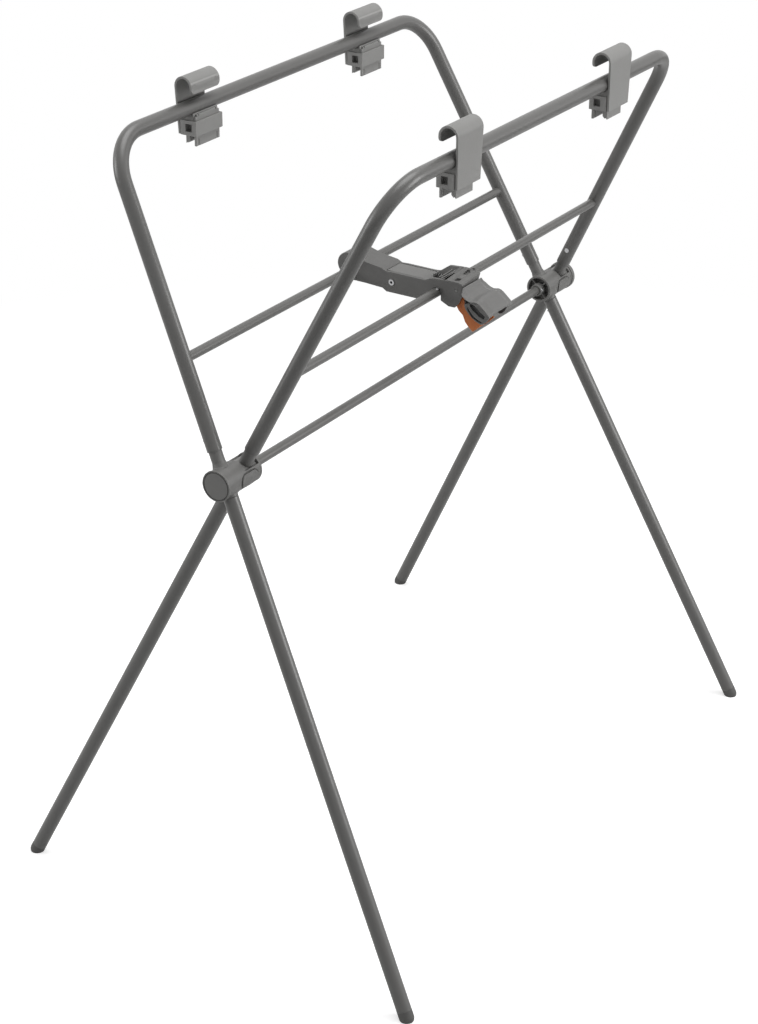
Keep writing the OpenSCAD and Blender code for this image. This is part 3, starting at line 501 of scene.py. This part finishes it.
# all places on the handle are measured from the strut's end, level with the axis of crossbar A
TIP_AT = EYE_AT + Vector((0.17272, 0, 0))
HANDLE_HALF, CURL = 0.023, 0.0095
CURL_FROM, CURL_RUN = 0.0005, 0.004
SIDE_IN, SIDE_OUT, SIDE_TURN, SIDE_FALL = 0.004, 0.0025, 0.010, 0.016
SIDE_FROM, SIDE_WIDE, SIDE_RUN = 0.010, 0.009, 0.006
GRIP_GAP, GRIP_GAP_RUN, GRIP_GAP_BACK, GRIP_GAP_DOWN = 0.0022, 0.004, 0.0005, 0.006
# the back's wave: how far along and how high, in millimetres
CREST = ((0, 15), (2.6, 12.4), (5.4, 9.8), (8.6, 7.6), (12.6, 5.4), (17.2, 4.2), (21, 4.7),
         (24.7, 5.5), (28, 4.8), (31.6, 2.6), (37.5, -2.2), (42, -6.2), (44.6, -9),
         (45.4, -11.8))


def crest_height(along):
    """Height of the handle's waved back above the strut's axis, both in metres."""
    along *= 1000
    for (x0, z0), (x1, z1) in zip(CREST, CREST[1:]):
        if along <= x1:
            return (z0 + (z1 - z0) * max(along - x0, 0) / (x1 - x0)) / 1000
    return CREST[-1][1] / 1000


def curl_sides(piece):
    """Draws the sides in towards the crest and rounds them over to it, walls and all."""
    for point in piece.data.vertices:
        along, across, up = point.co - TIP_AT
        down = crest_height(along) - up
        lean_out = SIDE_OUT * ease((down - SIDE_TURN) / SIDE_FALL)
        lean_out -= SIDE_IN * ease(1 - down / SIDE_TURN)
        at_side = ease((abs(across) - SIDE_FROM) / SIDE_WIDE) * ease(along / SIDE_RUN)
        point.co.y += math.copysign(lean_out * at_side, across)
        half = HANDLE_HALF + lean_out * ease(along / SIDE_RUN)
        across = point.co.y - TIP_AT.y
        side_in = half - abs(across)
        if along > CURL_FROM and side_in < CURL and down < CURL:
            flat, tall = 1 - max(side_in, 0) / CURL, 1 - max(down, 0) / CURL
            flat_new = flat * math.sqrt(1 - tall * tall / 2)
            tall_new = tall * math.sqrt(1 - flat * flat / 2)
            start = ease(along / CURL_RUN)
            point.co.y += math.copysign((flat_new - flat) * CURL * start, across)
            point.co.z += (tall_new - tall) * CURL * start


def open_gap(piece):
    """Draws the shell's first edge back from the deck, so that a dark joint shows."""
    for point in piece.data.vertices:
        along = point.co.x - TIP_AT.x
        if -GRIP_GAP_BACK < along < GRIP_GAP_RUN and point.co.z > TIP_AT.z - GRIP_GAP_DOWN:
            point.co.x += GRIP_GAP * (1 - max(along, 0) / GRIP_GAP_RUN)


SHELL_ROUND = 0.0006
SIDE_SLICE, SIDE_SLICES = 0.0011, 9
HEIGHT_FROM, HEIGHT_SLICE, HEIGHT_SLICES = 0.016, 0.0016, 24
LENGTH_SLICE, LENGTH_SLICES = 0.002, 22
# the inner shell is dressed black as painted shade behind the handle's slots
for name, finish, slot, soft in (("handle_shell", shell_nylon, "strut_plastic", SHELL_ROUND),
                                 ("handle_liner", black_nylon_and_painted_shade, "plug_plastic", 0)):
    shell = raw_copy(name)
    slice_up(1, [EYE_AT.y + side * (HANDLE_HALF - CURL + SIDE_SLICE * step)
                 for side in (-1, 1) for step in range(SIDE_SLICES)])
    slice_up(2, [TIP_AT.z + HEIGHT_FROM - HEIGHT_SLICE * step for step in range(HEIGHT_SLICES)])
    slice_up(0, [TIP_AT.x + LENGTH_SLICE * step for step in range(1, LENGTH_SLICES + 1)])
    bpy.ops.object.mode_set(mode="OBJECT")
    curl_sides(shell)
    if name == "handle_shell":
        open_gap(shell)
    bpy.ops.object.mode_set(mode="EDIT")
    finish_copy(shell, name, "strut", finish, soft)

orange_nylon = nylon("orange_nylon", dark=(0.37, 0.080, 0.006), light=(0.43, 0.098, 0.010),
                     lit_edge_colour=(0.82, 0.34, 0.12), lit_edge_share=0.6, mottle=(50.0, 3.0),
                     skin=(200.0, 0.12, 0.42), grain=(2400.0, 0.15))
TRIGGER_ROUND = 0.0005
finish_copy(raw_copy("trigger"), "trigger", "trigger", orange_nylon,
            TRIGGER_ROUND)

# ---------------------------------------------------------------- rail clips
# Four moulded clips ride on the rails. Each has a hooked strap for the rim of the tub and,
# behind it, a clamp of four pieces: body, collar, jaw and two screws.

clip_nylon = nylon("clip_nylon", dark=(0.198, 0.197, 0.191), light=(0.226, 0.224, 0.218),
                   lit_edge_colour=(0.35, 0.348, 0.34), lit_edge_share=0.55, mottle=(40.0, 4.0),
                   skin=(240.0, 0.14, 0.46), grain=(2400.0, 0.22))
# heights on the hook are measured from the axis of the rail
RAIL_Z, STRAP_SPREAD, STRAP_FROM, STRAP_TALL = 0.99667, 0.0050, 0.010, 0.036
TIP_IN, TIP_FROM, TIP_TO = 0.182, 0.012, 0.0345


def at_tongue_tip(point):
    """True for a point at the tip of the hook's tongue."""
    return abs(point.co.x) < TIP_IN and RAIL_Z + TIP_FROM < point.co.z < RAIL_Z + TIP_TO


def round_strap(piece, width):
    """Rounds the hook's sharp edges but for the tip of its tongue, which is thin and crowded."""
    bpy.ops.mesh.select_mode(type="EDGE")
    bpy.ops.mesh.select_all(action="DESELECT")
    bpy.ops.mesh.edges_select_sharp(sharpness=SMOOTH_ANGLE)
    bpy.ops.object.mode_set(mode="OBJECT")
    points = piece.data.vertices
    for edge in piece.data.edges:
        if edge.select and any(at_tongue_tip(points[end]) for end in edge.vertices):
            edge.select = False
    bpy.ops.object.mode_set(mode="EDIT")
    bpy.ops.mesh.bevel(offset=width, segments=2, clamp_overlap=False)
    bpy.ops.mesh.select_mode(type="VERT")
    bpy.ops.object.mode_set(mode="OBJECT")


def spread_strap(piece, side):
    """Widens the strap a little on one side, from the rail up to the bend."""
    middle = sum(point.co.y for point in piece.data.vertices) / len(piece.data.vertices)
    for point in piece.data.vertices:
        if (point.co.y - middle) * side > 0:
            height = point.co.z - RAIL_Z + STRAP_FROM
            point.co.y += side * STRAP_SPREAD * ease(height / STRAP_TALL)


for clip in ("a_near", "a_far", "b_near", "b_far"):
    for part, soft in (("hook", 0.0005), ("body", 0.0005), ("collar", 0.0007), ("jaw", 0.0004)):
        name = f"clip_{clip}_{part}"
        piece = raw_copy(name)
        if part == "hook":
            round_strap(piece, soft)
            spread_strap(piece, 1 if clip[0] == "b" else -1)
            bpy.ops.object.mode_set(mode="EDIT")
            soft = 0
        finish_copy(piece, name, "clip_" + clip, clip_nylon, soft)
    dress(zinc, f"clip_{clip}_screws")
